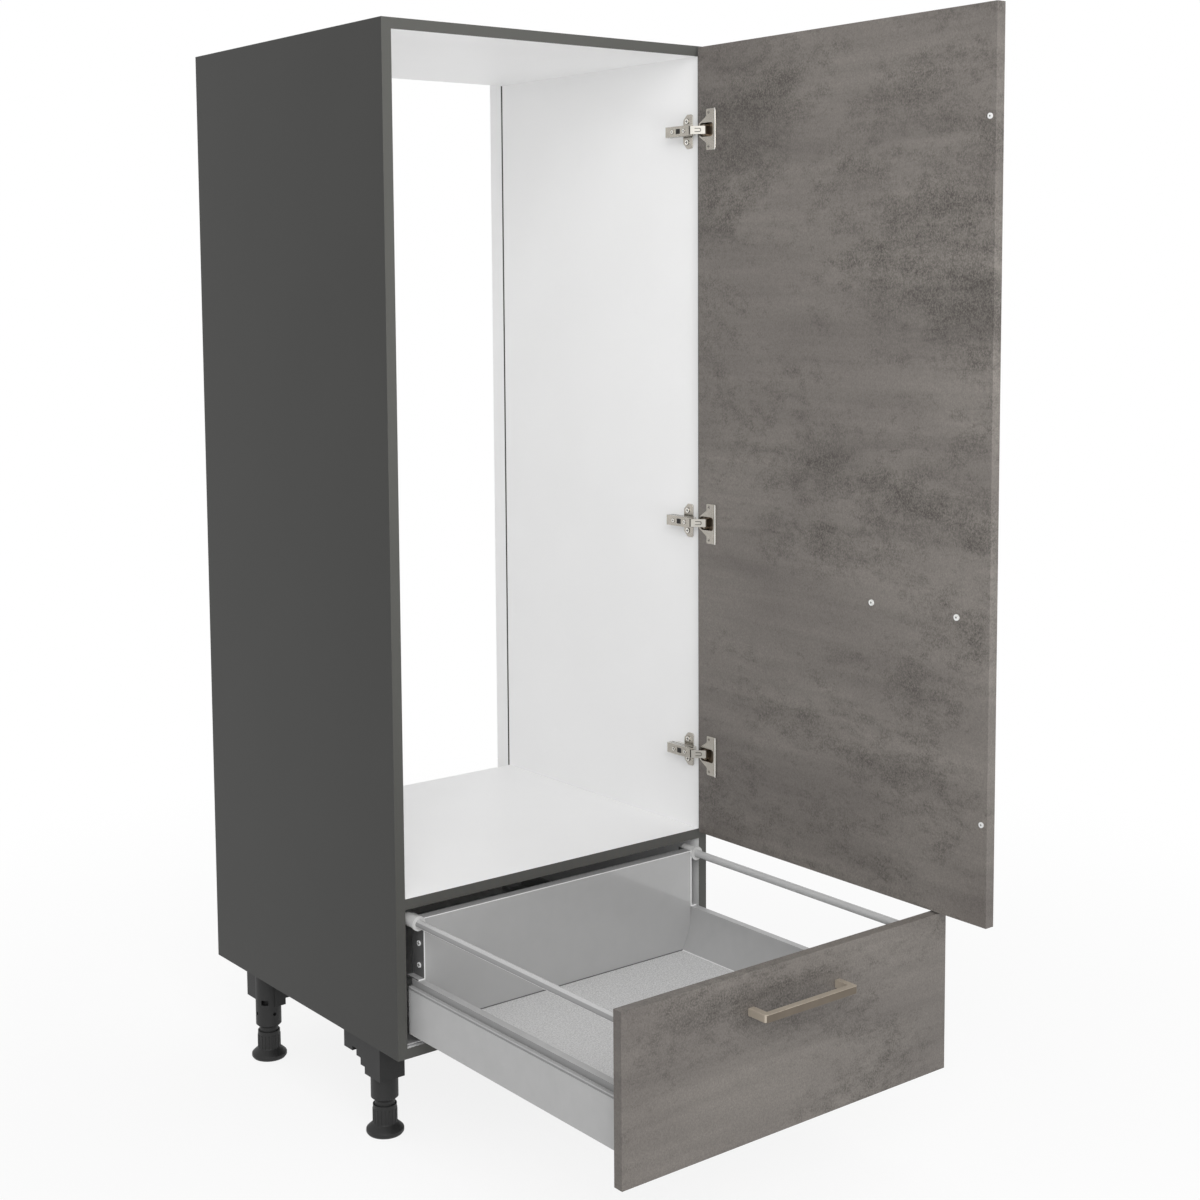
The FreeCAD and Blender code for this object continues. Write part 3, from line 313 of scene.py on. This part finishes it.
def coat(look, *names):
    """Give all faces of the named nodes one look."""
    for name in names:
        mesh = nodes[name].data
        mesh.materials.clear()
        mesh.materials.append(look.material)


def paint(name, looks, chosen):
    """Give each face of a node the look whose number the test picks by its normal and middle."""
    mesh = nodes[name].data
    mesh.materials.clear()
    for look in looks:
        mesh.materials.append(look.material)
    for face in mesh.polygons:
        face.material_index = chosen(face.normal, face.center)


def outer_face(name, way):
    """The x of a node's outermost face on one side of the cabinet."""
    low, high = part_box(name)
    return low.x if way < 0 else high.x


# Carcass
CARCASS_LOOKS = (anthracite, edging, white)
OUTSIDE, FRONT_EDGE, INSIDE = 0, 1, 2
# How far in from the outermost face a face still counts as outside
OUTSIDE_SLACK = 0.001


def dress_side_panel(name, way):
    """Edge band in front, anthracite outside, above and below, and white on the rest."""
    outer_x = outer_face(name, way)

    def chosen(normal, middle):
        if normal.y < -FACING:
            return FRONT_EDGE
        inward = abs(middle.x - outer_x) > OUTSIDE_SLACK
        return INSIDE if inward and abs(normal.z) < FACING else OUTSIDE

    paint(name, CARCASS_LOOKS, chosen)


def dress_level_panel(name, over, under):
    """Edge band in front, one look on the underside and one on the rest."""
    def chosen(normal, middle):
        if normal.y < -FACING:
            return FRONT_EDGE
        return under if normal.z < -FACING else over

    paint(name, CARCASS_LOOKS, chosen)


for side, way in SIDES.items():
    dress_side_panel(f"{side}_side_panel", way)
dress_level_panel("top_panel", over=OUTSIDE, under=INSIDE)
dress_level_panel("fridge_shelf", over=INSIDE, under=INSIDE)
dress_level_panel("bottom_panel", over=INSIDE, under=OUTSIDE)
coat(hardboard, "drawer_compartment_back")
coat(beech, "dowels")


# Fronts, handles and feet
def sideways(normal, middle):
    """1 for faces that look to the left or right."""
    return int(abs(normal.x) > FACING)


def up_or_sideways(normal, middle):
    """1 for faces that look up, to the left or right."""
    return int(max(normal.z, abs(normal.x)) > FACING)


coat(decor, "door_panel")
paint("drawer_front", (decor, edge_decor), sideways)
# The handles' top and end faces get the lighter nickel as a painted highlight
for handle in ("door_handle", "drawer_handle"):
    paint(handle, (satin, satin_painted_highlight), up_or_sideways)
coat(zinc, "door_handle_screws", "drawer_handle_screws")
coat(clear, "door_buffers")
coat(black, *(f"{kind}_{foot}" for kind in ("foot_socket", "levelling_foot") for foot in FEET))

# Hinges
# How far below the door's face the inside of a cup begins
CUP_SKIN = 0.0003
door_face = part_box("door_panel")[0].x


def rim(normal, middle):
    """1 for the narrow edges of a hinge's sheet metal, which get the bright nickel as a painted highlight.
    """
    return int(abs(normal.x) < 1 - FACING)


def link_flat(normal, middle):
    """1 for all faces of a link but those that look up or down."""
    return int(abs(normal.z) < FACING)


def cup_part(normal, middle):
    """2 inside the cup, below the door's face, where a darker copy of the plating is painted shade, and
    otherwise as for a rim.
    """
    return 2 if middle.x > door_face + CUP_SKIN else rim(normal, middle)


for level in HINGES:
    paint(f"hinge_plate_{level}", (nickel, bright_nickel_and_painted_highlight), rim)
    paint(f"hinge_arm_{level}", (nickel, bright_nickel_and_painted_highlight), rim)
    paint(f"hinge_link_{level}", (nickel, link_nickel), link_flat)
    paint(f"hinge_cup_{level}", (nickel, bright_nickel_and_painted_highlight, cup_painted_shade), cup_part)
coat(nickel, "hinge_arm_pins", "hinge_cup_pins", "hinge_cup_screws")
coat(bright_nickel_and_painted_highlight, "hinge_arm_screws", "carcass_screws")

# Drawer
# How far in from the outermost face the set-back upper part of a drawer side lies
RISER_NEAR, RISER_FAR = 0.0003, 0.009
# Shares of the normal, outward and upward, past which a rail's face belongs to its flute or its underside
FLUTE_FACING, UNDER_FACING = 0.78, -0.6


def dress_drawer_side(name, way):
    """Painted shade on the set-back upper part, as a darker copy of the lacquer."""
    outer_x = outer_face(name, way)

    def chosen(normal, middle):
        inward = abs(middle.x - outer_x)
        return int(abs(normal.x) > FACING and RISER_NEAR < inward < RISER_FAR)

    paint(name, (steel, shaded_steel), chosen)


def dress_rail(name, way):
    """Painted shade in the flute and on the underside, as darker copies of the lacquer."""
    def chosen(normal, middle):
        if normal.x * way > FLUTE_FACING:
            return 1
        return 2 if normal.z < UNDER_FACING else 0

    paint(name, (rail_coat, rail_flute_painted_shade, rail_under_painted_shade), chosen)


def bracket_part(normal, middle):
    """2 for faces that look forward, which get a painted highlight, 1 for those that look sideways, which
    get painted shade, and 0 for the rest.
    """
    return 2 if normal.y < -FACING else int(abs(normal.x) > FACING)


def back_part(normal, middle):
    """2 for the top of the back board, which gets painted shade, 1 for its other edges, which get a painted
    highlight, and 0 for its broad faces.
    """
    return 2 if normal.z > FACING else int(abs(normal.y) < FACING)


for side, way in SIDES.items():
    dress_drawer_side(f"drawer_side_{side}", way)
    dress_rail(f"gallery_rail_{side}", way)
    paint(f"drawer_back_bracket_{side}", (steel, leaf_painted_shade, pale_edge_and_painted_highlight), bracket_part)
    coat(milky, f"rail_back_holder_{side}")
    coat(galvanised, f"cabinet_runner_{side}", f"runner_middle_{side}", f"drawer_runner_{side}")
paint("drawer_back", (back_gloss, pale_edge_and_painted_highlight, board_top), back_part)
coat(milky, "rail_front_holders")
# The bracket screws' heads are a painted highlight
coat(pale_edge_and_painted_highlight, "bracket_screws")
coat(flecks, "drawer_bottom")


# Small pieces that ride on the bodies
# Decimals of a metre to which two corners count as one
SAME_CORNER = 6


def islands(name):
    """Lowest and highest corner of each separate solid of a node."""
    mesh = nodes[name].data
    keys = [tuple(round(value, SAME_CORNER) for value in vertex.co) for vertex in mesh.vertices]
    leader = {key: key for key in keys}

    def find(key):
        while leader[key] != key:
            key = leader[key]
        return key

    for face in mesh.polygons:
        first = find(keys[face.vertices[0]])
        for corner in face.vertices[1:]:
            leader[find(keys[corner])] = first
    groups = {}
    for key in leader:
        groups.setdefault(find(key), []).append(key)
    return [[Vector(pick(axis) for axis in zip(*group)) for pick in (min, max)] for group in groups.values()]


class Piece:
    """A mesh gathered from prisms, which becomes one object on a body."""

    def __init__(self):
        self.points = []
        self.faces = []

    def prism(self, outline, base, across, up, rise):
        """Outline in the axes across and up from a base point, carried along a rise."""
        first = len(self.points)
        count = len(outline)
        for lift in (Vector(), Vector(rise)):
            for u, v in outline:
                self.points.append(Vector(base) + Vector(across) * u + Vector(up) * v + lift)
        self.faces.append([first + index for index in range(count)])
        self.faces.append([first + count + index for index in range(count)])
        for index in range(count):
            after = (index + 1) % count
            self.faces.append([first + index, first + after, first + count + after, first + count + index])

    def finish(self, name, look, body):
        """Make the object with one look, on its body."""
        mesh = bpy.data.meshes.new(name)
        mesh.from_pydata(self.points, [], self.faces)
        made = bmesh.new()
        made.from_mesh(mesh)
        bmesh.ops.recalc_face_normals(made, faces=made.faces)
        made.to_mesh(mesh)
        made.free()
        mesh.materials.append(look.material)
        thing = bpy.data.objects.new(name, mesh)
        scene.collection.objects.link(thing)
        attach(thing, body)


def rectangle(left, bottom, right, top):
    """Outline of a rectangle."""
    return [(left, bottom), (right, bottom), (right, top), (left, top)]


# Cross recesses of the screws, drawn as thin shapes of painted shade
# Radius of the cross as a share of the screw head's, and half widths of its arms as shares of its own
CROSS_SHARE, CROSS_ROOT, CROSS_TIP = 0.7, 0.24, 0.16
# How far the thin dark shapes of painted shade that stand for recesses lie above the face
RECESS_RISE = 0.0001


def cross(radius):
    """Outline of a cross with tapered arms."""
    root, tip = radius * CROSS_ROOT, radius * CROSS_TIP
    outline = []
    for quarter in range(4):
        turn = -quarter * math.pi / 2
        cosine, sine = math.cos(turn), math.sin(turn)
        for u, v in ((root, root), (radius, tip), (radius, -tip)):
            outline.append((u * cosine - v * sine, u * sine + v * cosine))
    return outline


def cross_recesses(name, screws, body, side_of):
    """Thin dark cross on the head of each screw, painted shade for its sunken cross, on the side that the
    test gives, or none for 0.
    """
    made = Piece()
    for low, high in islands(screws):
        way = side_of(low, high)
        if way:
            middle = (low + high) / 2
            face_x = low.x if way < 0 else high.x
            radius = (high.z - low.z) / 2 * CROSS_SHARE
            base = (face_x, middle.y, middle.z)
            made.prism(cross(radius), base, Y_AXIS, Z_AXIS, X_AXIS * way * RECESS_RISE)
    made.finish(name, painted_recess_shade, body)


shelf_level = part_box("fridge_shelf")[1].z


def hinge_side(low, high):
    """Towards the niche for a screw of the hinges, and none for the others."""
    return -1 if low.x > 0 and low.z > shelf_level else 0


def outward(low, high):
    """Away from the cabinet's middle."""
    return -1 if high.x < 0 else 1


cross_recesses("plate_screw_recesses", "carcass_screws", "carcass", hinge_side)
cross_recesses("arm_screw_recesses", "hinge_arm_screws", "carcass", hinge_side)
cross_recesses("cup_screw_recesses", "hinge_cup_screws", "door", hinge_side)
cross_recesses("bracket_screw_recesses", "bracket_screws", "drawer", outward)

# Hinge clips
# Distance of a clip's middle from the arm's front end
CLIP_SETBACK = 0.0319
CLIP_HALF_LONG, CLIP_HALF_TALL, CLIP_SINK, CLIP_DEEP = 0.0047, 0.0037, 0.0004, 0.003
RIB_HALF = 0.0008


def hinge_clips():
    """Black release clip with two ribs in the window of each hinge arm."""
    made = Piece()
    plate = rectangle(-CLIP_HALF_LONG, -CLIP_HALF_TALL, CLIP_HALF_LONG, CLIP_HALF_TALL)
    for level in HINGES:
        low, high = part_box(f"hinge_arm_{level}")
        base = Vector((low.x + CLIP_SINK, low.y + CLIP_SETBACK, (low.z + high.z) / 2))
        made.prism(plate, base + X_AXIS * CLIP_SINK, Y_AXIS, Z_AXIS, X_AXIS * CLIP_DEEP)
        for along in (-CLIP_HALF_LONG / 2, CLIP_HALF_LONG / 2):
            rib = rectangle(along - RIB_HALF, -CLIP_HALF_TALL, along + RIB_HALF, CLIP_HALF_TALL)
            made.prism(rib, base, Y_AXIS, Z_AXIS, X_AXIS * CLIP_SINK)
    made.finish("hinge_clips", dark_clip, "carcass")


hinge_clips()

# Grooves of the hinge arms
# Near and far edge of each groove, from the arm's face towards the panel
GROOVES = ((0.0026, 0.0048), (0.0078, 0.0104))
# Lengths left free at the arm's front and back end, and the thickness of the dark strips of painted shade
GROOVE_START, GROOVE_END, GROOVE_RISE = 0.0135, 0.0015, 0.00005


def hinge_arm_grooves():
    """Thin dark strips of painted shade that stand for two grooves along the top and underside of each hinge
    arm.
    """
    made = Piece()
    for level in HINGES:
        low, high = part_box(f"hinge_arm_{level}")
        run = high.y - low.y - GROOVE_START - GROOVE_END
        for near, far in GROOVES:
            for face_z, way in ((high.z, 1), (low.z, -1)):
                section = rectangle(near, 0, far, way * GROOVE_RISE)
                made.prism(section, (low.x, low.y + GROOVE_START, face_z), X_AXIS, Z_AXIS, Y_AXIS * run)
    made.finish("hinge_arm_grooves", painted_recess_shade, "carcass")


hinge_arm_grooves()

# Marks on the hinge links
# Length of a link's flat
LINK_WEB = 0.0232
MARK_HALF_LONG, MARK_HALF_TALL, MARK_LINE, MARK_RISE = 0.005, 0.003, 0.0009, 0.0003


def mark_outline():
    """A loop that is open at one end, with its corners cut off at the other."""
    tip, top, line = MARK_HALF_LONG, MARK_HALF_TALL, MARK_LINE
    bend = top / 2
    inner_tip, inner_top, inner_bend = tip - line, top - line, bend - line / 2
    shoulder, inner_shoulder = tip - bend, tip - bend - line / 2
    outline = [(-tip, -top), (shoulder, -top), (tip, -bend), (tip, bend), (shoulder, top), (-tip, top)]
    outline += [(-tip, inner_top), (inner_shoulder, inner_top), (inner_tip, inner_bend)]
    outline += [(inner_tip, -inner_bend), (inner_shoulder, -inner_top), (-tip, -inner_top)]
    return outline


def hinge_link_marks():
    """Raised loop, dark with painted shade, on the flat of each hinge link, which lies at 45 degrees at
    rest.
    """
    made = Piece()
    along = (X_AXIS - Y_AXIS).normalized()
    off = -(X_AXIS + Y_AXIS).normalized()
    for level in HINGES:
        low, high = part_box(f"hinge_link_{level}")
        start = Vector((low.x, low.y + LINK_WEB * along.x, (low.z + high.z) / 2))
        made.prism(mark_outline(), start + along * LINK_WEB / 2, along, Z_AXIS, off * MARK_RISE)
    made.finish("hinge_link_marks", painted_recess_shade, "hinge_links")


hinge_link_marks()

# Rims of the hinge flanges
RIM_WIDE, RIM_FOOT, RIM_RISE, RIM_SHOULDER = 0.0016, 0.0022, 0.0008, 0.7


def hinge_flange_rims():
    """Bright rounded rim along the free edge of each hinge cup's flange, a painted highlight."""
    made = Piece()
    section = [(0, 0), (RIM_WIDE / 2, -RIM_RISE * RIM_SHOULDER), (RIM_WIDE, -RIM_RISE), (RIM_FOOT, 0)]
    for level in HINGES:
        low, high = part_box(f"hinge_cup_{level}")
        made.prism(section, low, Y_AXIS, X_AXIS, Z_AXIS * (high.z - low.z))
    made.finish("hinge_flange_rims", bright_nickel_and_painted_highlight, "door")


hinge_flange_rims()

# Pale lips, a seam of painted shade and an edge line of painted highlight on the drawer box
LIP_WIDE, LIP_HIGH, LIP_SHOULDER = 0.0014, 0.0008, 0.8
SEAM_DEEP, SEAM_HIGH, SEAM_SHOULDER = 0.0014, 0.0010, 0.7
LINE_HIGH, LINE_RISE = 0.0014, 0.0001
floor_low, floor_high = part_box("drawer_bottom")
back_low, back_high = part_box("drawer_back")


def drawer_floor_lips():
    """Pale line where the drawer's floor meets its sides."""
    made = Piece()
    run = Y_AXIS * (floor_high.y - floor_low.y)
    for edge_x, way in ((floor_low.x, 1), (floor_high.x, -1)):
        wide = way * LIP_WIDE
        section = [(0, 0), (wide, 0), (wide / 2, LIP_HIGH * LIP_SHOULDER), (0, LIP_HIGH)]
        made.prism(section, (edge_x, floor_low.y, floor_high.z), X_AXIS, Z_AXIS, run)
    made.finish("drawer_floor_lips", pale_edge_and_painted_highlight, "drawer")


def drawer_back_seam():
    """Dark strip of painted shade in the seam where the drawer's back board stands on its floor."""
    made = Piece()
    section = [(0, 0), (-SEAM_DEEP, 0), (-SEAM_DEEP / 2, SEAM_HIGH * SEAM_SHOULDER), (0, SEAM_HIGH)]
    base = (floor_low.x, back_low.y, floor_high.z)
    made.prism(section, base, Y_AXIS, Z_AXIS, X_AXIS * (floor_high.x - floor_low.x))
    made.finish("drawer_back_seam", seam, "drawer")


def drawer_back_edge_line():
    """Painted highlight as a pale line along the top edge of the drawer's back board."""
    made = Piece()
    section = [(0, 0), (-LINE_RISE, -LINE_RISE), (-LINE_RISE, LINE_RISE - LINE_HIGH), (0, -LINE_HIGH)]
    base = (back_low.x, back_low.y, back_high.z)
    made.prism(section, base, Y_AXIS, Z_AXIS, X_AXIS * (back_high.x - back_low.x))
    made.finish("drawer_back_edge_line", pale_edge_and_painted_highlight, "drawer")


drawer_floor_lips()
drawer_back_seam()
drawer_back_edge_line()

# Dimples of the door buffers and handle screws
# Share of the head's radius, and number of sides of the outline
DIMPLE_SHARE, DIMPLE_SIDES = 0.34, 12


def door_dimples():
    """Thin dark disc of painted shade that stands for the sunken middle of each door buffer and handle
    screw.
    """
    made = Piece()
    turns = [2 * math.pi * step / DIMPLE_SIDES for step in range(DIMPLE_SIDES)]
    for low, high in islands("door_buffers") + islands("door_handle_screws"):
        radius = (high.z - low.z) / 2 * DIMPLE_SHARE
        outline = [(radius * math.cos(turn), radius * math.sin(turn)) for turn in turns]
        middle = (low + high) / 2
        made.prism(outline, (low.x, middle.y, middle.z), Y_AXIS, Z_AXIS, -X_AXIS * RECESS_RISE)
    made.finish("door_dimples", dimple_painted_shade, "door")


door_dimples()

# Painted reflections below the grooves of the gallery rails
# Angles below the horizontal of the lip's points around the rail's middle, in degrees
LIP_TURNS = (34.0, 41.0, 48.0)
# How far the lip reaches out of the rail's face and into it
LIP_SKIN = 0.00008


def gallery_rail_painted_reflections():
    """Pale strip below the groove of each gallery rail, a painted reflection."""
    made = Piece()
    for side, way in SIDES.items():
        low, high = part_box(f"gallery_rail_{side}")
        middle = (low + high) / 2
        radius = (high.x - low.x) / 2
        section = []
        for reach, turns in ((radius + LIP_SKIN, LIP_TURNS), (radius - LIP_SKIN, LIP_TURNS[::-1])):
            for turn in map(math.radians, turns):
                section.append((way * reach * math.cos(turn), -reach * math.sin(turn)))
        made.prism(section, (middle.x, low.y, middle.z), X_AXIS, Z_AXIS, Y_AXIS * (high.y - low.y))
    made.finish("gallery_rail_painted_reflections", pale_edge_and_painted_highlight, "drawer")


gallery_rail_painted_reflections()


# Floor and backdrop
def seen_ray(tree):
    """1 for rays that come from the camera, also by way of a mirror or glass."""
    path = tree.nodes.new("ShaderNodeLightPath")
    total = path.outputs["Is Camera Ray"]
    for name in ("Is Glossy Ray", "Is Transmission Ray"):
        plus = tree.nodes.new("ShaderNodeMath")
        plus.operation = "MAXIMUM"
        tree.links.new(total, plus.inputs[0])
        tree.links.new(path.outputs[name], plus.inputs[1])
        total = plus.outputs[0]
    return total


FLOOR_REACH = 9.0
# Distances from the middle between which the floor turns to white, and the share of white at the nearer one
FADE_START, FADE_END, FADE_LEAST = 0.7, 2.2, 0.85


def floor_paint():
    """Pale matt paint that fades to plain white away from the object, as seen from the camera."""
    look = Look("floor_paint", Roughness=0.9, Specular_IOR_Level=0.0)
    look.set(Base_Color=look.ramp(look.noise(3.0, detail=2.0), (0.3, 0.93), (0.7, 0.95)))
    distance = look.add("ShaderNodeVectorMath", {0: look.place}, operation="LENGTH").outputs["Value"]
    fade = look.ranged(distance, FADE_START, FADE_END, FADE_LEAST, 1.0, interpolation_type="SMOOTHSTEP")
    seen_inputs = {0: fade, 1: seen_ray(look.tree)}
    seen = look.add("ShaderNodeMath", seen_inputs, operation="MULTIPLY").outputs[0]
    glow = look.add("ShaderNodeEmission", {"Color": (1, 1, 1, 1), "Strength": 1.0}).outputs[0]
    blend_inputs = {0: seen, 1: look.shader.outputs[0], 2: glow}
    blended = look.add("ShaderNodeMixShader", blend_inputs).outputs[0]
    look.tree.links.new(blended, look.tree.nodes["Material Output"].inputs["Surface"])
    return look


floor_mesh = bpy.data.meshes.new("floor")
corners = [(x, y, 0) for x, y in rectangle(-FLOOR_REACH, -FLOOR_REACH, FLOOR_REACH, FLOOR_REACH)]
floor_mesh.from_pydata(corners, [], [(0, 1, 2, 3)])
floor_mesh.materials.append(floor_paint().material)
floor = bpy.data.objects.new("floor", floor_mesh)
scene.collection.objects.link(floor)

# Light
WORLD_LIGHT = 0.62
world = bpy.data.worlds.new("studio")
scene.world = world
world.use_nodes = True
sky = world.node_tree.nodes["Background"]
sky.inputs["Color"].default_value = (1, 1, 1, 1)
strength = world.node_tree.nodes.new("ShaderNodeMapRange")
strength.inputs["To Min"].default_value = WORLD_LIGHT
strength.inputs["To Max"].default_value = 1.0
world.node_tree.links.new(seen_ray(world.node_tree), strength.inputs["Value"])
world.node_tree.links.new(strength.outputs["Result"], sky.inputs["Strength"])


def softbox(name, place, target, width, height, power, spread=180.0):
    """Area lamp aimed at a target, with its size in metres, power in watts and spread in degrees."""
    lamp = bpy.data.lights.new(name, "AREA")
    lamp.shape = "RECTANGLE"
    lamp.size = width
    lamp.size_y = height
    lamp.energy = power
    lamp.spread = math.radians(spread)
    holder = bpy.data.objects.new(name, lamp)
    holder.location = place
    holder.rotation_mode = "QUATERNION"
    holder.rotation_quaternion = (Vector(target) - Vector(place)).to_track_quat("-Z", "Y")
    holder.visible_camera = False
    scene.collection.objects.link(holder)
    return holder


softbox("key", place=(-1.9, -3.15, 2.5), target=(0.0, 0.1, 0.8), width=2.4, height=2.4, power=72.0)
fill = softbox(
    "fill", place=(-0.3, -2.4, 0.6), target=(0.05, 0.3, 1.5), width=0.8, height=0.4, power=1.8, spread=50.0)
fill.visible_glossy = False
softbox("top", place=(0.2, -0.6, 3.6), target=(0.0, 0.0, 0.6), width=2.5, height=2.5, power=20.0)

# Camera
# Picture width, focal length and optical middle in pixels, and the sensor's width in millimetres
IMAGE = 1200.0
FOCAL_PIXELS = 1877.66
MIDDLE_X, MIDDLE_Y = 576.14, 460.0
SENSOR = 36.0
# Place in metres, and angles in degrees
CAMERA_PLACE = (-1.72211, -2.23806, 1.27648)
AZIMUTH, ELEVATION, ROLL = -37.709, 5.315, -0.426
camera_data = bpy.data.cameras.new("camera")
camera_data.sensor_width = SENSOR
camera_data.lens = FOCAL_PIXELS / IMAGE * SENSOR
camera_data.shift_x = (IMAGE / 2 - MIDDLE_X) / IMAGE
camera_data.shift_y = (MIDDLE_Y - IMAGE / 2) / IMAGE
camera = bpy.data.objects.new("camera", camera_data)
around = Matrix.Rotation(math.radians(AZIMUTH), 4, "Z")
tilt = Matrix.Rotation(math.radians(90 - ELEVATION), 4, "X")
roll = Matrix.Rotation(math.radians(ROLL), 4, "Z")
camera.matrix_world = Matrix.Translation(CAMERA_PLACE) @ around @ tilt @ roll
scene.collection.objects.link(camera)
scene.camera = camera
scene.view_settings.view_transform = "Standard"
